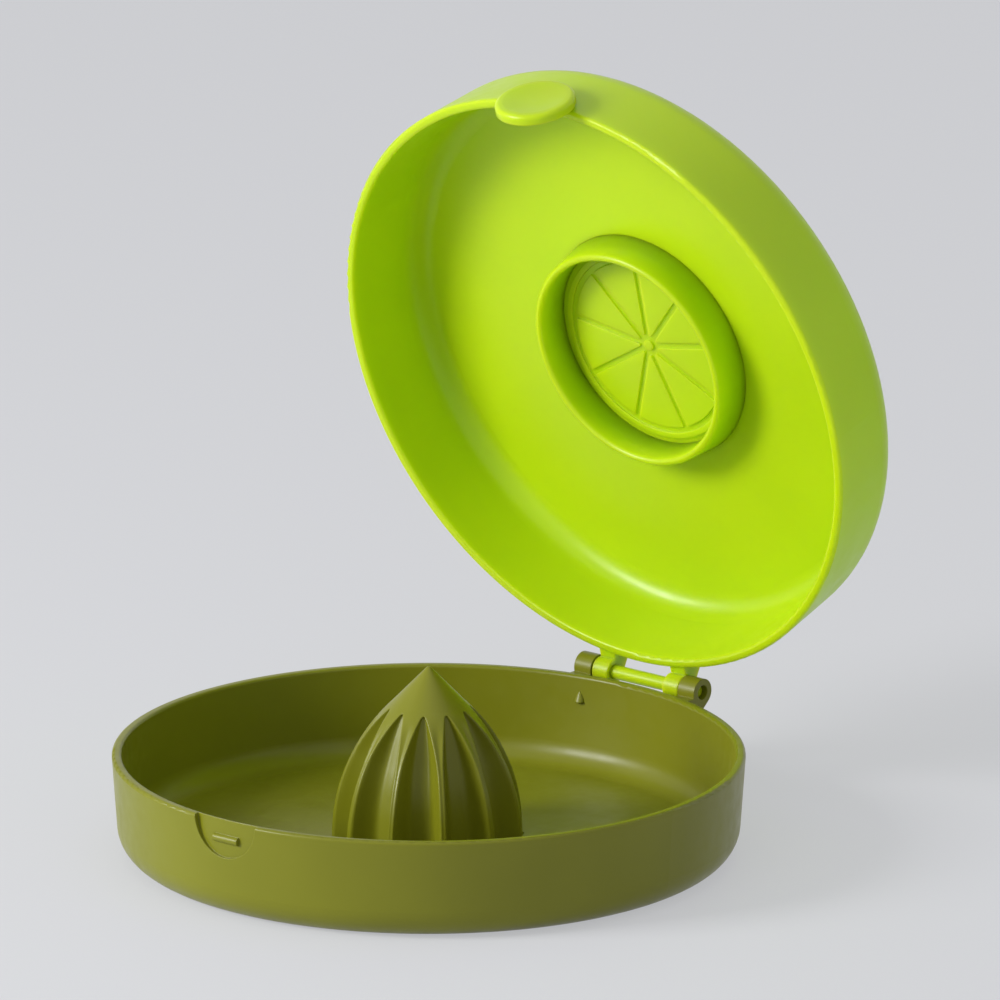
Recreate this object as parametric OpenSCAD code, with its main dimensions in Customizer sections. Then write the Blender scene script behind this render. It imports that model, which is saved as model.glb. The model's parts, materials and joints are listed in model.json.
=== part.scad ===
// Round two-part glass rimmer: a shallow dish with a fluted citrus cone, and a
// hinged lid whose inside is a second dish. Front is -Y, the hinge is at +Y,
// and the dish stands on Z = 0. The lid is drawn shut and then swung open.

/* [Shells] */
// Outside diameter of both rims
rim_d = 140; // [125:1:160]
// Height of the base dish, table to rim
base_h = 23; // [21.5:0.5:28]
// Height of the lid, rim to top
lid_h = 23; // [22.5:0.5:28]
// Thickness of the round walls
wall_t = 2.2; // [2:0.1:2.8]
// Thickness of the two flat floors
floor_t = 2.4; // [1.8:0.1:3]
// How much the wall leans in from rim to flat end, on the radius
draft = 1.6; // [0.6:0.2:2.4]
// Radius of the outer edge round each flat end
edge_r = 7; // [4:0.5:8]
// Radius of the fillet between floor and inside wall
fillet_r = 5.5; // [3:0.5:7]
// Radius of the rounded lips along each rim
lip_r = 0.7; // [0.4:0.1:0.9]
// Gap between the two rims when shut
seam_gap = 0.3; // [0.3:0.05:0.5]

/* [Citrus cone] */
// Diameter of the cone over its ribs
cone_d = 43; // [38:1:50]
// How far the tip stands above the rim of the dish
tip_rise = 19.6; // [15:0.2:20]
// Height of the smooth tip above the ends of the flutes
tip_h = 8.4; // [7:0.2:10]
// Number of flutes, and so of ribs
flute_n = 11; // [9:1:13]
// Thickness of a rib's crest at the foot
rib_t = 1.3; // [1:0.1:2]
// Depth of a flute at the foot
flute_depth = 5.2; // [3:0.1:6]
// Squareness of a flute's section; 2 is a parabola
flute_form = 2.6; // [2:0.1:4]
// Height of the arch that closes the upper end of a flute
arch_h = 12; // [8:0.5:16]
// From the smooth tip's foot down to the flutes' upper ends
flute_drop = 0.6; // [0.4:0.1:1.5]
// Height over the dish's floor where the cone is widest
swell_h = 1.6; // [1:0.2:4]
// Rounding of the very tip
tip_r = 0.8; // [0.4:0.1:1.2]
// Wall between the deepest line of a flute and the hollow inside
cone_wall = 2.2; // [1.6:0.1:2.6]
// Height of the spigot on the dish's floor that the hollow cone sits over
spigot_h = 1.6; // [1:0.2:3]
// Gap between the spigot and the hollow
spigot_gap = 0.25; // [0.2:0.05:0.4]

/* [Hinge] */
// From the rim of the shells out to the hinge axis
hinge_out = 3.85; // [3.8:0.05:5]
// Diameter of the hinge pin
pin_d = 3.2; // [2.4:0.1:3.4]
// Radial clearance of the pin in the dish's two ears
pin_clearance = 0.05; // [0.03:0.01:0.1]
// Radial clearance of the pin in the lid's two arms
arm_clearance = 0.01; // [0.01:0.01:0.03]
// Radius of the round end of an ear
ear_r = 3.1; // [2.8:0.1:3.4]
// Radius of the round end of an arm
arm_r = 2.9; // [2.7:0.1:3.4]
// Width over both ears
hinge_w = 34.6; // [30:0.2:44]
// Width of one ear
ear_w = 4.7; // [3.6:0.1:6]
// Width of one arm
arm_w = 4.2; // [3:0.1:5]
// Side gap between an ear and the arm beside it
side_gap = 0.35; // [0.3:0.05:0.6]
// How far each end of the pin lies inside its ear
pin_recess = 1.2; // [0.4:0.1:2]
// How far an ear's web runs down the wall, or an arm's up it
web_h = 10; // [8:0.5:13]
// Opening angle of the lid as drawn; 0 is shut and 180 lies flat
lid_open = 76; // [0:1:180]

/* [Snap latch] */
// Diameter of the round tab
tab_d = 18; // [15:0.5:20]
// Thickness of the tab
tab_t = 2.3; // [2:0.1:3.2]
// Rounding round the tab's face
tab_round = 1; // [0.6:0.1:1.2]
// From the lid's rim down to the middle of the tab
tab_drop = 2.3; // [1.5:0.1:3]
// Gap between the back of the tab and the rim circle
tab_gap = 0.6; // [0.5:0.05:0.9]
// Depth of the thumb hollow in the tab's face
thumb_depth = 0.5; // [0.2:0.1:0.8]
// Flat rim left round the thumb hollow
thumb_rim = 1.8; // [1.4:0.1:3]
// How far the boss that carries the tab stays inside its outline
boss_inset = 1.2; // [0.8:0.1:2]
// Radius of the half-round pocket in the dish's wall
pocket_r = 8.6; // [7.8:0.1:9.4]
// Depth of the pocket under the rim circle
pocket_depth = 1.2; // [1:0.05:1.3]
// From the dish's rim down to the catch bar
catch_drop = 4.4; // [4:0.1:4.8]
// Radius of the catch bar
catch_r = 0.9; // [0.8:0.05:1]
// Length of the catch bar
catch_w = 7; // [6:0.5:9]
// Width of the hook on the back of the tab
hook_w = 6; // [5:0.5:7]
// Reach of the hook behind the tab
hook_reach = 1.3; // [1.2:0.05:1.4]
// Height of the hook
hook_h = 2; // [1.6:0.1:2.4]
// Gap between the hook and the catch bar when shut
hook_gap = 0.35; // [0.3:0.05:0.5]

/* [Lid floor] */
// Outside diameter of the round collar
collar_d = 52; // [48:1:58]
// Thickness of the collar's wall
collar_t = 1.6; // [1.2:0.1:2.2]
// Height of the collar over the floor
collar_h = 6; // [3:0.5:7]
// Radius of the citrus slice in relief
slice_r = 23; // [18:0.2:23.4]
// Height of the slice's relief
slice_h = 0.5; // [0.3:0.1:0.8]
// Width of the peel round the slice
peel_w = 1.4; // [1:0.1:2]
// Width of the grooves between the slice's segments
groove_w = 1.3; // [0.8:0.1:2]
// Number of segments in the slice
slice_n = 9; // [8:1:12]

/* [Hidden] */
$fn = 96;

rim_r = rim_d / 2;
shut_h = base_h + seam_gap + lid_h;      // table to the top of the shut lid
lid_rim_z = base_h + seam_gap;
hinge_y = rim_r + hinge_out;
hinge_z = shut_h / 2;                    // so that the lid at 180 lies on the table
pin_r = pin_d / 2;
ear_in = hinge_w / 2 - ear_w;            // inner face of an ear
arm_out = ear_in - side_gap;             // outer face of an arm
web_root = rim_r - wall_t / 2;           // webs start inside the wall
web_in = sqrt(pow(web_root, 2) - pow(hinge_w / 2, 2)); // also at an ear's outer face

cone_r = cone_d / 2;
tip_z = base_h + tip_rise;
apex_z = tip_z - tip_h;                  // where the smooth tip starts
apex_r = tip_h;                          // the tip's sides slope at 45 degrees
swell_z = floor_t + swell_h;
over = 1;                                // how far a cutter or a root runs past a face

// The cone's side is an arc: upright at swell_z and through the tip's foot.
function side_arc_r(r_low, r_high, rise) =
    ((r_low - r_high) * (r_low - r_high) + rise * rise) / (2 * (r_low - r_high));
side_r = side_arc_r(cone_r, apex_r, apex_z - swell_z);

flute_top_z = apex_z - flute_drop;
pitch = 360 / flute_n;
flute_end = 2.5;                         // half angle that the flutes run out to
flute_steps = 8;                         // flats across a flute
rib_steps = 4;                           // flats across a rib
ring_steps = flute_steps + rib_steps;
cone_rings = 14;
crowding = 1.4;                          // rings lie closer under the flutes' upper ends
hollow_rings = 4;

tab_z = lid_rim_z - tab_drop;
tab_top = tab_z + tab_d / 2;
tab_back = -(rim_r + tab_gap);
pocket_wall = rim_r - pocket_depth;
catch_z = base_h - catch_drop;
hook_top = catch_z - catch_r - hook_gap;

// Where the straight side of a shell meets its round edge: the centre of the edge's
// arc for a wall that reaches radius r at height h and leans in by draft.
function edge_centre(r, h, corner) =
    let (l = norm([h, draft])) r + ((corner - h) * draft - corner * l) / h;

// Half section of a solid pot standing on z0: flat floor, round edge, leaning wall.
module pot_section(r, h, corner, z0, above) {
    n = [h, -draft] / norm([h, draft]);
    c = [edge_centre(r, h, corner), z0 + corner];
    translate(c) circle(r = corner);
    polygon([[0, z0], [c[0], z0], c, c + corner * n, [r, z0 + h],
             [r, z0 + h + above], [0, z0 + h + above]]);
}

// Half section of one shell of height h, rim up, with both lips rounded.
module shell_section(h) {
    lip_z = h - lip_r;
    difference() {
        pot_section(rim_r, lip_z, edge_r, 0, 0);
        pot_section(rim_r - wall_t, lip_z - floor_t, fillet_r, floor_t, over);
    }
    for (x = [rim_r - lip_r, rim_r - wall_t + lip_r])
        translate([x, lip_z]) circle(r = lip_r);
    translate([rim_r - wall_t + lip_r, lip_z - over]) square([wall_t - 2 * lip_r, lip_r + over]);
}

// Draws its children, a section in Y and Z, as a plate from x0 to x1.
module plate_x(x0, x1) {
    translate([x0, 0, 0]) rotate([90, 0, 90]) linear_extrude(x1 - x0) children();
}

module bar_x(r, x0, x1, y, z) {
    translate([x0, y, z]) rotate([0, 90, 0]) cylinder(r = r, h = x1 - x0);
}

// Point where a line from w touches the circle of radius r about c; side is 1 or -1.
function touch(c, r, w, side) =
    let (d = w - c, a = atan2(d[1], d[0]) + side * acos(r / norm(d)))
    c + r * [cos(a), sin(a)];

// Section of a hinge ear: round end, web down to the wall, flat under the rim.
module knuckle_section(r) {
    axis = [hinge_y, hinge_z];
    low = [web_in, hinge_z - web_h];
    translate(axis) circle(r = r);
    polygon([low, touch(axis, r, low, 1), axis,
             [hinge_y, base_h - lip_r], [web_in, base_h - lip_r]]);
}

module base_dish() color("#7f8a1c") difference() {
    union() {
        rotate_extrude() shell_section(base_h);
        translate([0, 0, floor_t - over])
            cylinder(r = bed_at(floor_t) - cone_wall - spigot_gap, h = spigot_h + over);
        difference() {
            for (s = [-1, 1])
                plate_x(s > 0 ? ear_in : -hinge_w / 2, s > 0 ? hinge_w / 2 : -ear_in)
                    knuckle_section(ear_r);
            cylinder(r = web_root, h = shut_h);
        }
    }
    bar_x(pin_r + pin_clearance, -hinge_w / 2 - over, hinge_w / 2 + over, hinge_y, hinge_z);
    latch_pocket();
}

// Half-round pocket in the front wall, with the catch bar left standing in it.
module latch_pocket() {
    difference() {
        translate([0, -pocket_wall + wall_t, base_h]) rotate([90, 0, 0])
            cylinder(r = pocket_r, h = 2 * wall_t + pocket_depth);
        cylinder(r = pocket_wall, h = 2 * base_h);
        bar_x(catch_r, -catch_w / 2, catch_w / 2, -pocket_wall, catch_z);
    }
}

// Radius of the cone over its ribs at height z.
function side_at(z) = cone_r - side_r + sqrt(side_r * side_r - pow(z - swell_z, 2));

// How far a flute has opened at height z: 0 at its upper end, 1 below the arch.
function opened(z) = let (t = min(1, max(0, (flute_top_z - z) / arch_h))) sqrt(1 - pow(1 - t, 2));

// Half the angle that a flute takes at height z, and its depth there.
function flute_half(z) = max(flute_end, (pitch / 2 - asin(rib_t / 2 / side_at(z))) * opened(z));
function depth_at(z) = flute_depth * opened(z) * side_at(z) / cone_r;
function bed_at(z) = side_at(z) - depth_at(z);

// One ring of the cone: each flute's hollow, then the crest of the rib beside it.
function fluted_ring(z) = let (half = flute_half(z), land = pitch - 2 * half)
    [for (i = [0 : flute_n - 1], k = [0 : ring_steps - 1])
        let (a = k <= flute_steps ? half * (2 * k / flute_steps - 1)
                                  : half + land * (k - flute_steps) / rib_steps,
             r = side_at(z) - depth_at(z) * (1 - pow(min(1, abs(a) / half), flute_form)),
             t = i * pitch + a - 90)
        [r * cos(t), r * sin(t), z]];

// A round ring of radius r at height z, with its points in step with the cone's ring at like_z.
function round_ring(r, z, like_z) =
    [for (p = fluted_ring(like_z)) concat(r * [p[0], p[1]] / norm([p[0], p[1]]), z)];

// The hollow cone as one closed skin of rings: down the hollow inside, out under the
// foot, up the flutes and over the rounded tip.
module citrus_cone() color("#858f22") {
    round_c = tip_z - tip_r;
    round_start = round_c + tip_r * sin(45);
    hollow_z = [for (i = [hollow_rings : -1 : 0]) floor_t + (apex_z - floor_t) * i / hollow_rings];
    fluted_z = [for (i = [cone_rings : -1 : 0])
        flute_top_z - (flute_top_z - floor_t) * pow(i / cone_rings, crowding)];
    rings = concat(
        [for (z = hollow_z) round_ring(bed_at(z) - cone_wall, z, floor_t)],
        [for (z = fluted_z) fluted_ring(z)],
        [fluted_ring(apex_z), round_ring((apex_r + tip_r) / 2, (apex_z + round_start) / 2, apex_z)],
        [for (a = [45, 62, 78]) round_ring(tip_r * cos(a), round_c + tip_r * sin(a), apex_z)]);
    n = flute_n * ring_steps;
    last = (len(rings) - 1) * n;
    top_in = len(rings) * n;
    polyhedron(
        points = concat([for (ring = rings) each ring], [[0, 0, apex_z + tip_r], [0, 0, tip_z]]),
        faces = concat(
            [for (k = [0 : n - 1]) [top_in, k, (k + 1) % n]],
            [for (j = [0 : len(rings) - 2], k = [0 : n - 1]) let (a = j * n + k, b = j * n + (k + 1) % n)
                each [[a, a + n, b], [b, a + n, b + n]]],
            [for (k = [0 : n - 1]) [last + k, top_in + 1, last + (k + 1) % n]]),
        convexity = 8);
}

// Swings a shut piece open about the hinge axis.
module swung() {
    translate([0, hinge_y, hinge_z]) rotate([-lid_open, 0, 0])
        translate([0, -hinge_y, -hinge_z]) children();
}

// Turns the dish's ear section over into the lid's arm section.
module arm_section() {
    translate([0, shut_h]) mirror([0, 1]) knuckle_section(arm_r);
}

// Citrus slice: peel ring, wedge segments and a round pith, in low relief. One of
// the grooves between the segments points to the front.
module slice_relief() {
    linear_extrude(slice_h + over) {
        difference() {
            circle(r = slice_r);
            circle(r = slice_r - peel_w);
        }
        difference() {
            circle(r = slice_r - peel_w - groove_w);
            for (i = [0 : slice_n - 1])
                rotate(360 / slice_n * i - 90) translate([0, -groove_w / 2]) square([slice_r, groove_w]);
            circle(r = 2 * groove_w);
        }
        circle(r = groove_w);
    }
}

module lid() color("#b5d916") swung() difference() {
    union() {
        translate([0, 0, shut_h]) mirror([0, 0, 1]) lid_shell();
        difference() {
            for (s = [-1, 1])
                plate_x(s > 0 ? arm_out - arm_w : -arm_out, s > 0 ? arm_out : arm_w - arm_out)
                    arm_section();
            cylinder(r = web_root, h = 2 * shut_h);
        }
        latch_boss();
    }
    bar_x(pin_r + arm_clearance, -hinge_w, hinge_w, hinge_y, hinge_z);
}

// The lid's shell, rim up on its own floor, with the collar round the slice.
module lid_shell() {
    rotate_extrude() {
        shell_section(lid_h);
        translate([collar_d / 2 - collar_t, floor_t - over])
            square([collar_t, collar_h + over - collar_t / 2]);
        translate([collar_d / 2 - collar_t / 2, floor_t + collar_h - collar_t / 2])
            circle(r = collar_t / 2);
    }
    translate([0, 0, floor_t - over]) slice_relief();
}

// Boss on the lid's front wall that the tab hangs from: the upper part of a smaller disc.
module latch_boss() {
    low = lid_rim_z + lip_r;
    intersection() {
        difference() {
            translate([0, 0, tab_z]) rotate([90, 0, 0])
                cylinder(r = tab_d / 2 - boss_inset, h = -tab_back);
            cylinder(r = web_root, h = 2 * shut_h);
        }
        translate([-tab_d / 2, tab_back - over, low]) cube([tab_d, rim_r, tab_d]);
    }
}

module hinge_pin() color("#b5d916") swung() {
    half = hinge_w / 2 - pin_recess;
    bevel = pin_r / 4;
    bar_x(pin_r, bevel - half, half - bevel, hinge_y, hinge_z);
    for (s = [-1, 1])
        translate([s * (half - bevel), hinge_y, hinge_z]) rotate([0, 90 * s, 0])
            cylinder(r1 = pin_r, r2 = pin_r - bevel, h = bevel);
}

// Round tab with a thumb hollow and a hook; it flexes about its top edge.
module latch_tab() color("#b5d916") swung() {
    thumb_r = tab_d / 2 - thumb_rim;
    ball_r = (thumb_r * thumb_r + thumb_depth * thumb_depth) / (2 * thumb_depth);
    translate([0, tab_back, tab_z]) rotate([90, 0, 0]) difference() {
        rotate_extrude() {
            square([tab_d / 2, tab_t - tab_round]);
            square([tab_d / 2 - tab_round, tab_t]);
            translate([tab_d / 2 - tab_round, tab_t - tab_round]) circle(r = tab_round);
        }
        translate([0, 0, tab_t - thumb_depth + ball_r]) sphere(r = ball_r, $fn = 180);
    }
    plate_x(-hook_w / 2, hook_w / 2)
        polygon([[tab_back - over, hook_top], [tab_back + hook_reach, hook_top],
                 [tab_back + hook_reach, hook_top - hook_reach / 2],
                 [tab_back, hook_top - hook_h], [tab_back - over, hook_top - hook_h]]);
}

base_dish();
citrus_cone();
lid();
hinge_pin();
latch_tab();
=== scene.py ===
"""Looks of a hinged glass rimmer: moulded lime and olive plastic, a fine citrus cone and a pale studio."""

import json
import math

import bpy
import numpy as np
from bpy.props import FloatProperty, IntProperty, PointerProperty, StringProperty
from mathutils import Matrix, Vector


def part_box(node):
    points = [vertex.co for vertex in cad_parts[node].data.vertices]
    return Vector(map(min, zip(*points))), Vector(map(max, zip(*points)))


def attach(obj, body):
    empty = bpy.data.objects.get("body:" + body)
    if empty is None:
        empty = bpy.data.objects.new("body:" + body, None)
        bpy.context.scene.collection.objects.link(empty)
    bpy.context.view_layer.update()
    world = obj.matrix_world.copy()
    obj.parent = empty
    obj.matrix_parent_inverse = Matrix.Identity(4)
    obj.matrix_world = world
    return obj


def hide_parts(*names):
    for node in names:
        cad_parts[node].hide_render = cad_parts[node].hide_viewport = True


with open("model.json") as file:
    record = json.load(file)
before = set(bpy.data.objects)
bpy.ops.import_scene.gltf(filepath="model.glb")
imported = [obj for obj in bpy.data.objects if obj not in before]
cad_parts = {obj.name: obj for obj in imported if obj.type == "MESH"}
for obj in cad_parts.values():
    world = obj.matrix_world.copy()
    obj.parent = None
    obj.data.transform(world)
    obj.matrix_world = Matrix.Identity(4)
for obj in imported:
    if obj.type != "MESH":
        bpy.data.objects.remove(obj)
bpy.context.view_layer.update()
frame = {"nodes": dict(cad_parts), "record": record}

bl_info = {
    "name": "Glass rimmer looks",
    "version": (1, 0, 0),
    "blender": (4, 5, 0),
    "location": "3D View > Sidebar > Rimmer",
    "description": "Dresses the packed rimmer: moulded plastics, the fluted cone and the stage",
    "category": "Object",
}

MM = 0.001
CONE_LOW, CONE_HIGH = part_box("citrus_cone")
# Sizes of the solids that the new pieces are fitted to.
RIM_RADIUS_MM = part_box("base_dish")[1].x / MM
RIM_HEIGHT_MM = 23.0
SHUT_HEIGHT_MM = 46.3
LID_FLOOR_MM = 2.4
WALL_MM = 2.2
DRAFT_MM = 1.6
# Roughness of the polished plastic, the share of the light that goes into it, and how many
# mm the light travels there.
OLIVE_FINISH = (0.34, 0.08, 1.0)
LIME_FINISH = (0.32, 0.85, 5.0)


class RimmerColours(bpy.types.PropertyGroup):
    """Colours of the plastics and of the stage, as sRGB hex values."""

    lime: StringProperty(name="Lime", description="Lid, pin and tab", default="#BEDB10")
    lime_deep: StringProperty(name="Lime, deep", description="Where the lime flowed thick", default="#B8D60E")
    olive: StringProperty(name="Olive", description="Dish and cone", default="#808219")
    olive_deep: StringProperty(name="Olive, deep", description="Where the olive flowed thick",
                               default="#797B15")
    floor: StringProperty(name="Floor", description="Pale floor", default="#DCDDE1")


class ConeSizes(bpy.types.PropertyGroup):
    """Sizes of the fluted citrus cone, in millimetres, with its feet on the dish's floor."""

    flutes: IntProperty(name="Flutes", description="Number of flutes round the cone",
                        default=11, min=9, max=13)
    width: FloatProperty(name="Width", description="Diameter over the ribs", default=43.0)
    tip_height: FloatProperty(name="Tip", description="Height of the smooth tip over the flutes", default=8.4)
    flute_drop: FloatProperty(name="Flute drop", description="From the tip's foot to the flutes", default=0.6)
    swell: FloatProperty(name="Swell", description="Height over the floor where the cone is widest",
                         default=1.6)
    depth: FloatProperty(name="Flute depth", description="Depth of a flute at the foot", default=5.8)
    form: FloatProperty(name="Flute form", description="Squareness of a flute; 2 is a parabola", default=4.5)
    arch: FloatProperty(name="Arch", description="Height of the arch at a flute's upper end", default=12.0)
    rib: FloatProperty(name="Rib", description="Thickness of a rib's crest at the foot", default=1.3)
    crest: FloatProperty(name="Crest rounding", description="Width over which a rib's edges are rounded",
                         default=0.35)
    land_dip: FloatProperty(name="Land dip", default=0.35,
                            description="Depth of a land between two arches, as a share of its half width")
    tip_round: FloatProperty(name="Tip rounding", description="Radius of the very tip", default=0.8)
    foot: FloatProperty(name="Foot fillet", description="Radius of the fillet at the dish's floor",
                        default=0.8)
    sink: FloatProperty(name="Sink", description="How far the foot goes into the dish's floor", default=0.2)


class CollarSizes(bpy.types.PropertyGroup):
    """Sizes of the round collar on the lid's floor, in millimetres."""

    width: FloatProperty(name="Width", description="Outside diameter at the collar's edge", default=52.2)
    wall: FloatProperty(name="Wall", description="Thickness of the collar's wall", default=1.8)
    height: FloatProperty(name="Height", description="Height over the lid's floor", default=8.4)
    draft: FloatProperty(name="Draft", description="How far the outside leans out at the foot", default=1.0)
    sink: FloatProperty(name="Sink", description="How far the foot goes into the lid's floor", default=0.05)


class NubSizes(bpy.types.PropertyGroup):
    """Sizes of the small wedge inside the dish's wall, in millimetres, under the open lid."""

    turn: FloatProperty(name="Turn", description="From the hinge's middle towards -X",
                        default=math.radians(10.3), subtype="ANGLE")
    drop: FloatProperty(name="Drop", description="From the rim to the wedge's point", default=3.3)
    width: FloatProperty(name="Width", description="Width at the wedge's foot", default=2.4)
    height: FloatProperty(name="Height", description="From the foot to the point", default=2.6)
    stand: FloatProperty(name="Stand", description="How far the foot stands out of the wall", default=1.0)
    form: FloatProperty(name="Form", description="Power by which the width shrinks to the point", default=1.6)


class StageSizes(bpy.types.PropertyGroup):
    """Where the camera and the lamps stand."""

    azimuth: FloatProperty(name="Azimuth", description="Camera, from the front towards +X",
                           default=math.radians(40.0), subtype="ANGLE")
    elevation: FloatProperty(name="Elevation", description="Camera, above the table",
                             default=math.radians(16.1), subtype="ANGLE")
    distance: FloatProperty(name="Distance", description="Camera to the object's middle",
                            default=7.0, unit="LENGTH")
    fill: FloatProperty(name="Fill", description="Share of the picture that the object fills",
                        default=0.86, subtype="FACTOR", min=0.2, max=1.0)
    key: FloatProperty(name="Key lamp", description="Power of the lamp at the left", default=11.4)
    key_turn: FloatProperty(name="Key turn", description="Key lamp, from the camera towards its left",
                            default=math.radians(70), subtype="ANGLE")
    key_rise: FloatProperty(name="Key rise", description="Key lamp, above the table",
                            default=math.radians(23), subtype="ANGLE")
    key_size: FloatProperty(name="Key size", description="Side of the key lamp", default=0.42, unit="LENGTH")
    top: FloatProperty(name="Top lamp", description="Power of the lamp overhead", default=1.0)
    top_rise: FloatProperty(name="Top rise", description="Top lamp, above the table",
                            default=math.radians(80), subtype="ANGLE")
    top_size: FloatProperty(name="Top size", description="Side of the top lamp", default=0.84, unit="LENGTH")
    lamp_distance: FloatProperty(name="Lamp distance", description="Lamps to the object's middle",
                                 default=1.15, unit="LENGTH")
    ambient: FloatProperty(name="Ambient", description="World light on the object", default=0.4)
    surround: FloatProperty(name="Surround", description="Brightness of the world in reflections",
                            default=0.75)
    board_glow: FloatProperty(name="Board glow", default=0.6, subtype="FACTOR", min=0.0, max=1.0,
                              description="Share of the board that the camera sees lit evenly")


def linear(code):
    """Linear RGBA of an sRGB hex code."""
    values = np.array([int(code[i:i + 2], 16) for i in (1, 3, 5)]) / 255
    return (*np.where(values <= 0.04045, values / 12.92, ((values + 0.055) / 1.055) ** 2.4), 1.0)


def add_node(tree, kind, links=None, outputs=None, **settings):
    """Adds a node: settings that name an input set its value, others set the node's own
    properties; links maps its inputs to other nodes' sockets, outputs maps its outputs to inputs."""
    node = tree.nodes.new(kind)
    for name, value in settings.items():
        socket = name.replace("_", " ")
        match = next((s for s in node.inputs if s.name.lower() == socket.lower()), None)
        if match is not None and not hasattr(node, name):
            match.default_value = value
        else:
            setattr(node, name, value)
    for name, source in (links or {}).items():
        tree.links.new(source, node.inputs[name])
    for name, target in (outputs or {}).items():
        tree.links.new(node.outputs[name], target)
    return node


def new_tree(name):
    """A material with an empty node tree and its output."""
    material = bpy.data.materials.new(name)
    material.use_nodes = True
    material.node_tree.nodes.clear()
    output = material.node_tree.nodes.new("ShaderNodeOutputMaterial")
    return material, material.node_tree, output


def moulded_plastic(name, main, deep, finish):
    """Injection-moulded polypropylene, semi-gloss from a polished mould: an even colour with
    faint flow clouds, a soft sheen, an orange-peel skin and a little light passing through."""
    roughness, clear, reach = finish
    material, tree, output = new_tree(name)
    place = add_node(tree, "ShaderNodeTexCoord").outputs["Object"]
    # Flow clouds, 30 mm across, as the melt cools unevenly.
    clouds = add_node(tree, "ShaderNodeTexNoise", {"Vector": place}, Scale=1 / (30 * MM), Detail=1.0)
    colour = add_node(tree, "ShaderNodeMix", data_type="RGBA")
    colour.inputs["A"].default_value = linear(main)
    colour.inputs["B"].default_value = linear(deep)
    cloud_share = add_node(tree, "ShaderNodeMapRange", {"Value": clouds.outputs["Fac"]},
                           From_Min=0.35, From_Max=0.75, To_Min=0.0, To_Max=1.0)
    tree.links.new(cloud_share.outputs["Result"], colour.inputs["Factor"])
    # Sheen that varies over 4 mm, as a mould's polish does.
    polish = add_node(tree, "ShaderNodeTexNoise", {"Vector": place}, Scale=1 / (4 * MM), Detail=2.0)
    rough = add_node(tree, "ShaderNodeMapRange", {"Value": polish.outputs["Fac"]},
                     From_Min=0.3, From_Max=0.7, To_Min=roughness - 0.04, To_Max=roughness + 0.05)
    # Orange-peel skin, 0.9 mm from crest to crest, coarser than the real 0.3 mm so that it shows.
    peel = add_node(tree, "ShaderNodeTexNoise", {"Vector": place}, Scale=1 / (0.9 * MM), Detail=1.0)
    # Edges that catch a soft line of light, as the mould's corners have a radius of 0.3 mm.
    edge = add_node(tree, "ShaderNodeBevel", samples=8, Radius=0.3 * MM)
    bump = add_node(tree, "ShaderNodeBump", {"Height": peel.outputs["Fac"], "Normal": edge.outputs["Normal"]},
                    Strength=0.06, Distance=0.05 * MM)
    shader = add_node(
        tree, "ShaderNodeBsdfPrincipled",
        {"Base Color": colour.outputs["Result"], "Roughness": rough.outputs["Result"],
         "Normal": bump.outputs["Normal"]},
        {"BSDF": output.inputs["Surface"]},
        IOR=1.49, Specular_IOR_Level=0.35, Subsurface_Weight=clear, Subsurface_Scale=reach * MM)
    shader.inputs["Subsurface Radius"].default_value = (1.0, 1.0, 0.35)
    return material


def painted_board(name, code, glow):
    """Matt painted board for the floor: even, with a faint roller texture 3 mm apart. To the
    camera and in reflections a share of it is lit evenly, so that it stays pale under little light."""
    material, tree, output = new_tree(name)
    place = add_node(tree, "ShaderNodeTexCoord").outputs["Object"]
    roller = add_node(tree, "ShaderNodeTexNoise", {"Vector": place}, Scale=1 / (3 * MM), Detail=2.0)
    bump = add_node(tree, "ShaderNodeBump", {"Height": roller.outputs["Fac"]},
                    Strength=0.05, Distance=0.1 * MM)
    board = add_node(tree, "ShaderNodeBsdfPrincipled", {"Normal": bump.outputs["Normal"]},
                     Base_Color=linear(code), Roughness=0.75)
    even = add_node(tree, "ShaderNodeEmission", Color=linear(code), Strength=1.0)
    share = add_node(tree, "ShaderNodeMath", {0: seen_ray(tree)}, operation="MULTIPLY")
    share.inputs[1].default_value = glow
    mix = add_node(tree, "ShaderNodeMixShader", {0: share.outputs[0], 1: board.outputs["BSDF"],
                                                 2: even.outputs["Emission"]})
    tree.links.new(mix.outputs[0], output.inputs["Surface"])
    return material


def seen_ray(tree):
    """A socket that is 1 for camera, glossy and transmission rays and 0 for the light's own."""
    path = add_node(tree, "ShaderNodeLightPath")
    seen = add_node(tree, "ShaderNodeMath",
                    {0: path.outputs["Is Camera Ray"], 1: path.outputs["Is Glossy Ray"]}, operation="MAXIMUM")
    return add_node(tree, "ShaderNodeMath", {0: seen.outputs[0], 1: path.outputs["Is Transmission Ray"]},
                    operation="MAXIMUM").outputs[0]


def grid_mesh(name, points, closed_round=True, closed_along=False, start=None, end=None):
    """A mesh from a grid of points, rows by columns: each cell is a quad, the columns wrap
    round, the rows may too, and the first and last rows may end in a pole."""
    rows, columns = points.shape[:2]
    vertices = points.reshape(-1, 3)
    index = np.arange(rows * columns).reshape(rows, columns)
    right = np.roll(index, -1, axis=1)
    if not closed_round:
        index, right = index[:, :-1], right[:, :-1]
    quads = np.stack([index, right, np.roll(right, -1, axis=0), np.roll(index, -1, axis=0)], -1)
    faces = (quads if closed_along else quads[:-1]).reshape(-1, 4).tolist()
    for pole, row, turn in ((start, 0, -1), (end, rows - 1, 1)):
        if pole is not None:
            tip = len(vertices)
            vertices = np.vstack([vertices, pole])
            ring = np.stack([index[row], right[row], np.full(index.shape[1], tip)], -1)
            faces += ring[:, ::turn].tolist()
    mesh = bpy.data.meshes.new(name)
    mesh.from_pydata(vertices.tolist(), [], faces)
    mesh.update()
    return mesh


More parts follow.
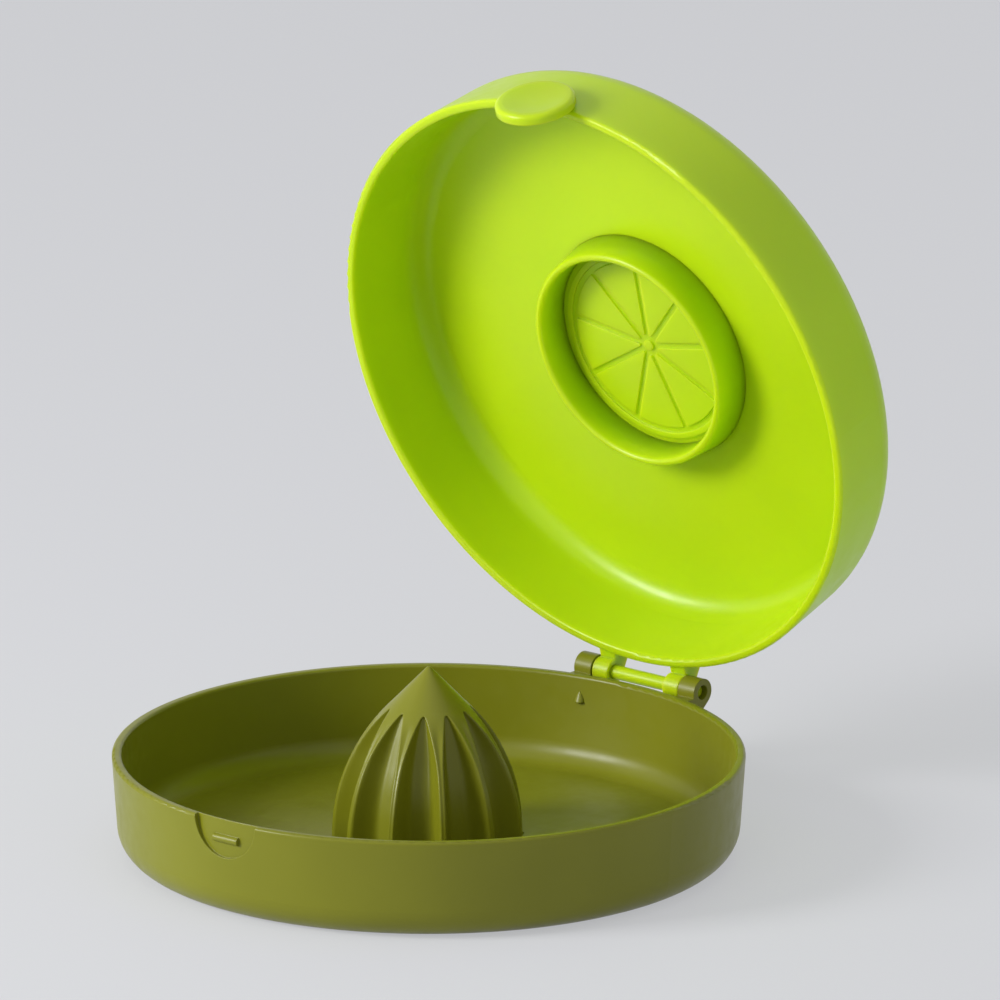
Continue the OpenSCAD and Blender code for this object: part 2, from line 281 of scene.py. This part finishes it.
def show(name, mesh, material, body, slot, *replaced):
    """Links a finished piece, smooth shaded, under the empty of the body that carries it, and hides the nodes
    it replaces.
    """
    piece = bpy.data.objects.new(name, mesh)
    bpy.context.scene.collection.objects.link(piece)
    mesh.materials.append(material)
    mesh.polygons.foreach_set("use_smooth", np.ones(len(mesh.polygons), bool))
    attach(piece, body)
    if replaced:
        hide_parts(*replaced)
    return piece


def cone_profile(sizes, floor_mm, tip_mm, rows):
    """Radius over the ribs and height, from the foot to the tip: an arc that is upright where
    the cone swells, then the straight sides of the tip, then the ball that ends them. The sides
    lean by 45 degrees, so the ball starts there. The arc's rows draw together upwards."""
    half_width = sizes.width / 2
    apex = tip_mm - sizes.tip_height
    swell = floor_mm + sizes.swell
    lean = half_width - sizes.tip_height
    side = (lean ** 2 + (apex - swell) ** 2) / (2 * lean)
    z = floor_mm + (apex - floor_mm) * np.sin(np.linspace(0, math.pi / 2, rows)) ** 0.9
    z[0] -= sizes.sink
    r = half_width - side + np.sqrt(side ** 2 - (z - swell) ** 2)
    tip_rows, ball_rows = rows // 5, rows // 12
    ball = np.radians(np.linspace(45, 88, ball_rows))
    ball_r, ball_z = sizes.tip_round * np.cos(ball), tip_mm + sizes.tip_round * (np.sin(ball) - 1)
    step = np.linspace(0, 1, tip_rows)[1:-1]
    return (np.concatenate([r, r[-1] + (ball_r[0] - r[-1]) * step, ball_r]),
            np.concatenate([z, z[-1] + (ball_z[0] - z[-1]) * step, ball_z]))


def cone_surface(sizes, floor_mm, tip_mm, rows=130, per_flute=44):
    """Outer skin of the fluted cone, in mm, as rows of points from the foot to the tip.

    Within a flute, at the share s of its half angle, the radius over the ribs is less by
    depth * (1 - s ** form). Half angle and depth grow from 0 at the flute's upper end as a
    quarter ellipse does. The land between two flutes, at the share q of its half width, is
    hollowed by land_dip * half width * (1 - q ** 2) ** 2, which eases in below the flute's
    upper end. A soft minimum rounds the crests,
    and a fillet widens the foot."""
    crest, z = (line[:, None] for line in cone_profile(sizes, floor_mm, tip_mm, rows))
    down = np.clip((tip_mm - sizes.tip_height - sizes.flute_drop - z) / sizes.arch, 0, 1)
    opened = np.sqrt(1 - (1 - down) ** 2)
    share = opened * crest / crest.max()
    pitch = 2 * math.pi / sizes.flutes
    turn = np.linspace(0, 2 * math.pi, sizes.flutes * per_flute, endpoint=False)[None, :]
    off = np.abs((turn + pitch / 2) % pitch - pitch / 2)
    rib = np.arcsin(np.clip(sizes.rib / 2 / crest, 0, 0.9))
    half = np.maximum((pitch / 2 - rib) * opened, np.radians(0.5))
    soft = sizes.crest * share + 1e-6
    sunk = soft * np.logaddexp(0, sizes.depth * share * (1 - (off / half) ** sizes.form) / soft)
    land = pitch / 2 - half
    from_middle = np.clip((pitch / 2 - off) / land, 0, 1)
    ease = np.clip(down * 2, 0, 1)
    hollow = sizes.land_dip * land * crest * ease ** 2 * (3 - 2 * ease) * (1 - from_middle ** 2) ** 2
    rest = np.clip(sizes.foot - (z - floor_mm), 0, sizes.foot)
    radius = crest - sunk - hollow + sizes.foot - np.sqrt(sizes.foot ** 2 - rest ** 2)
    angle = turn - math.pi / 2
    return np.stack([radius * np.cos(angle), radius * np.sin(angle), np.broadcast_to(z, radius.shape)], -1)


class RIMMER_OT_cone(bpy.types.Operator):
    """Makes the fluted citrus cone as one fine skin in the place of its plain solid"""

    bl_idname = "rimmer.cone"
    bl_label = "Citrus cone"

    def execute(self, context):
        colours = context.scene.rimmer_colours
        sizes = context.scene.rimmer_cone
        olive = moulded_plastic("Olive polypropylene, cone", colours.olive, colours.olive_deep, OLIVE_FINISH)
        points = cone_surface(sizes, CONE_LOW.z / MM, CONE_HIGH.z / MM) * MM
        mesh = grid_mesh("cone_skin", points, start=(0, 0, CONE_LOW.z), end=(0, 0, CONE_HIGH.z))
        show("fluted_cone", mesh, olive, "base", "olive_plastic", "citrus_cone")
        return {"FINISHED"}


def nub_surface(sizes, rows=14, columns=28):
    """The wedge inside the wall, in mm: half ellipses round the wall's slope, whose half
    width and stand shrink from the foot to the point as 1 - share ** form and 1 - share."""
    share = np.linspace(0, 0.995, rows)[:, None]
    turn = np.linspace(0, 2 * math.pi, columns, endpoint=False)[None, :]
    z = RIM_HEIGHT_MM - sizes.drop - sizes.height * (1 - share) + 0 * turn
    wall = RIM_RADIUS_MM - WALL_MM - DRAFT_MM * (1 - z / RIM_HEIGHT_MM)
    along = sizes.width / 2 * (1 - share ** sizes.form) * np.cos(turn)
    out = sizes.stand * (1 - share) * np.sin(turn)
    across = Vector((math.cos(sizes.turn), math.sin(sizes.turn)))
    inward = Vector((math.sin(sizes.turn), -math.cos(sizes.turn)))
    return np.stack([along * across.x - (wall - out) * inward.x,
                     along * across.y - (wall - out) * inward.y, z], -1)


class RIMMER_OT_dish(bpy.types.Operator):
    """Gives the dish with its ears its olive plastic, and adds the wedge inside its wall"""

    bl_idname = "rimmer.dish"
    bl_label = "Dish"

    def execute(self, context):
        colours = context.scene.rimmer_colours
        olive = moulded_plastic("Olive polypropylene", colours.olive, colours.olive_deep, OLIVE_FINISH)
        set_material("base_dish", olive)
        points = nub_surface(context.scene.rimmer_nub) * MM
        mesh = grid_mesh("wall_nub_skin", points, start=points[0].mean(0), end=points[-1].mean(0))
        show("wall_nub", mesh, olive, "base", "olive_plastic")
        return {"FINISHED"}


def on_open_lid(points):
    """Points of the shut lid, in mm, turned about the hinge into the open pose, in metres.
    The shut pose is the lower limit of the hinge's range, and rest is at 0."""
    joints = frame["record"]["behaviour"]["joints"]
    hinge = next(joint for joint in joints if joint["name"] == "lid_hinge")
    turn = math.radians(-hinge["range_deg"][0])
    pivot = np.array(hinge["pos_m"])
    y, z = (points[..., 1] * MM - pivot[1]), (points[..., 2] * MM - pivot[2])
    return np.stack([points[..., 0] * MM, pivot[1] + y * math.cos(turn) + z * math.sin(turn),
                     pivot[2] - y * math.sin(turn) + z * math.cos(turn)], -1)


def collar_surface(sizes, columns=180, arc=12):
    """The collar of the shut lid, in mm: its section, a wall with a half-round edge and a
    leaning outside, carried round the lid's axis. It ends just under the floor."""
    floor = SHUT_HEIGHT_MM - LID_FLOOR_MM
    inner, edge = sizes.width / 2 - sizes.wall, sizes.height - sizes.wall / 2
    round_edge = np.linspace(math.pi, 0, arc)
    r = np.concatenate([[inner], inner + sizes.wall / 2 * (1 + np.cos(round_edge)),
                        [inner + sizes.wall + sizes.draft]])
    up = np.concatenate([[-sizes.sink], edge + sizes.wall / 2 * np.sin(round_edge), [-sizes.sink]])
    turn = np.linspace(0, 2 * math.pi, columns, endpoint=False)
    return np.stack([r[:, None] * np.cos(turn), r[:, None] * np.sin(turn),
                     np.broadcast_to((floor - up)[:, None], (len(r), columns))], -1)


class RIMMER_OT_lid(bpy.types.Operator):
    """Gives the lid, the hinge pin and the snap tab their lime plastic, and adds the lid's collar"""

    bl_idname = "rimmer.lid"
    bl_label = "Lid, pin and tab"

    def execute(self, context):
        colours = context.scene.rimmer_colours
        lime = moulded_plastic("Lime polypropylene", colours.lime, colours.lime_deep, LIME_FINISH)
        for node in ("lid", "hinge_pin", "latch_tab"):
            set_material(node, lime)
        points = on_open_lid(collar_surface(context.scene.rimmer_collar))
        show("lid_collar", grid_mesh("collar_skin", points, closed_along=True), lime, "lid", "lime_plastic")
        return {"FINISHED"}


def set_material(node, material):
    """Puts one material in all of a node's slots."""
    if node not in frame["nodes"]:
        raise RuntimeError(f"the frame has no node {node}")
    mesh = frame["nodes"][node].data
    mesh.materials.clear()
    mesh.materials.append(material)


def camera_axes(azimuth, elevation):
    """Right, up and backward unit vectors of a level camera at that azimuth and elevation."""
    right = Vector((math.cos(azimuth), math.sin(azimuth), 0))
    back = Vector((math.sin(azimuth) * math.cos(elevation), -math.cos(azimuth) * math.cos(elevation),
                   math.sin(elevation)))
    return right, back.cross(right), back


def area_lamp(name, target, azimuth, rise, distance, size, power):
    """A square soft lamp that faces target from an azimuth, counted as the camera's is, and a rise."""
    place = target + camera_axes(azimuth, rise)[2] * distance
    lamp = bpy.data.lights.new(name, "AREA")
    lamp.shape = "SQUARE"
    lamp.size = size
    lamp.energy = power
    holder = bpy.data.objects.new(name, lamp)
    holder.location = place
    holder.rotation_euler = (target - place).to_track_quat("-Z", "Y").to_euler()
    bpy.context.scene.collection.objects.link(holder)


class RIMMER_OT_stage(bpy.types.Operator):
    """Makes the pale floor, the soft lamps, the white surround and the camera"""

    bl_idname = "rimmer.stage"
    bl_label = "Stage"

    def execute(self, context):
        scene = context.scene
        settings = scene.rimmer_stage
        right, up, back = camera_axes(settings.azimuth, settings.elevation)
        corners = np.vstack([shown_points(node) for node in frame["nodes"].values()])
        across, along = corners @ np.array(right), corners @ np.array(up)
        depth = corners @ np.array(back)
        middle = right * mid(across) + up * mid(along) + back * mid(depth)
        span = max(np.ptp(across), np.ptp(along)) / settings.fill

        camera = bpy.data.cameras.new("camera")
        camera.sensor_width = 36.0
        camera.lens = camera.sensor_width * settings.distance / span
        camera.clip_start = 0.05
        holder = bpy.data.objects.new("camera", camera)
        holder.location = middle + back * settings.distance
        holder.rotation_euler = back.to_track_quat("Z", "Y").to_euler()
        scene.collection.objects.link(holder)
        scene.camera = holder

        area_lamp("key_lamp", middle, settings.azimuth - settings.key_turn, settings.key_rise,
                  settings.lamp_distance, settings.key_size, settings.key)
        area_lamp("top_lamp", middle, settings.azimuth, settings.top_rise,
                  settings.lamp_distance, settings.top_size, settings.top)
        white_surround(scene, settings.ambient, settings.surround)
        add_floor(painted_board("Matt painted board", scene.rimmer_colours.floor, settings.board_glow))
        scene.view_settings.view_transform = "Standard"
        return {"FINISHED"}


def mid(values):
    """Middle between the lowest and the highest value."""
    return float(values.min() + values.max()) / 2


def shown_points(node):
    """All vertices of a CAD node as an array."""
    points = np.zeros(len(node.data.vertices) * 3, np.float32)
    node.data.vertices.foreach_get("co", points)
    return points.reshape(-1, 3)


def white_surround(scene, ambient, mirrored):
    """A white world that lights the object softly, and is brighter to the camera and in reflections."""
    world = bpy.data.worlds.new("studio")
    scene.world = world
    world.use_nodes = True
    tree = world.node_tree
    tree.nodes.clear()
    strength = add_node(tree, "ShaderNodeMapRange", {"Value": seen_ray(tree)},
                        To_Min=ambient, To_Max=mirrored)
    output = add_node(tree, "ShaderNodeOutputWorld")
    add_node(tree, "ShaderNodeBackground", {"Strength": strength.outputs["Result"]},
             {"Background": output.inputs["Surface"]}, Color=(1.0, 1.0, 1.0, 1.0))


def add_floor(material, half=6.0, cells=4):
    """The floor, a flat sheet of the plane Z = 0, a grid of cells that reaches half a width each way."""
    line = np.linspace(-half, half, cells + 1)
    x, y = np.meshgrid(line, line)
    points = np.stack([x, y, np.zeros_like(x)], -1)
    mesh = grid_mesh("floor", points, closed_round=False)
    mesh.materials.append(material)
    floor = bpy.data.objects.new("floor", mesh)
    bpy.context.scene.collection.objects.link(floor)


STEPS = ("rimmer.dish", "rimmer.cone", "rimmer.lid", "rimmer.stage")


class RIMMER_PT_panel(bpy.types.Panel):
    """Lists the steps and the sizes and colours behind them"""

    bl_idname = "RIMMER_PT_panel"
    bl_label = "Glass rimmer"
    bl_space_type = "VIEW_3D"
    bl_region_type = "UI"
    bl_category = "Rimmer"

    def draw(self, context):
        for step in STEPS:
            self.layout.operator(step)
        for group in (getattr(context.scene, name) for name in GROUPS):
            box = self.layout.box()
            for name in group.bl_rna.properties.keys():
                if name not in {"rna_type", "name"}:
                    box.prop(group, name)


GROUPS = {"rimmer_colours": RimmerColours, "rimmer_cone": ConeSizes, "rimmer_collar": CollarSizes,
          "rimmer_nub": NubSizes, "rimmer_stage": StageSizes}
CLASSES = (*GROUPS.values(), RIMMER_OT_dish, RIMMER_OT_cone, RIMMER_OT_lid, RIMMER_OT_stage, RIMMER_PT_panel)


def register():
    for item in CLASSES:
        bpy.utils.register_class(item)
    for name, group in GROUPS.items():
        setattr(bpy.types.Scene, name, PointerProperty(type=group))


def unregister():
    for name in GROUPS:
        delattr(bpy.types.Scene, name)
    for item in reversed(CLASSES):
        bpy.utils.unregister_class(item)


def main():
    register()
    for step in STEPS:
        group, name = step.split(".")
        getattr(getattr(bpy.ops, group), name)()
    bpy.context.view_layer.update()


if __name__ == "__main__":
    main()
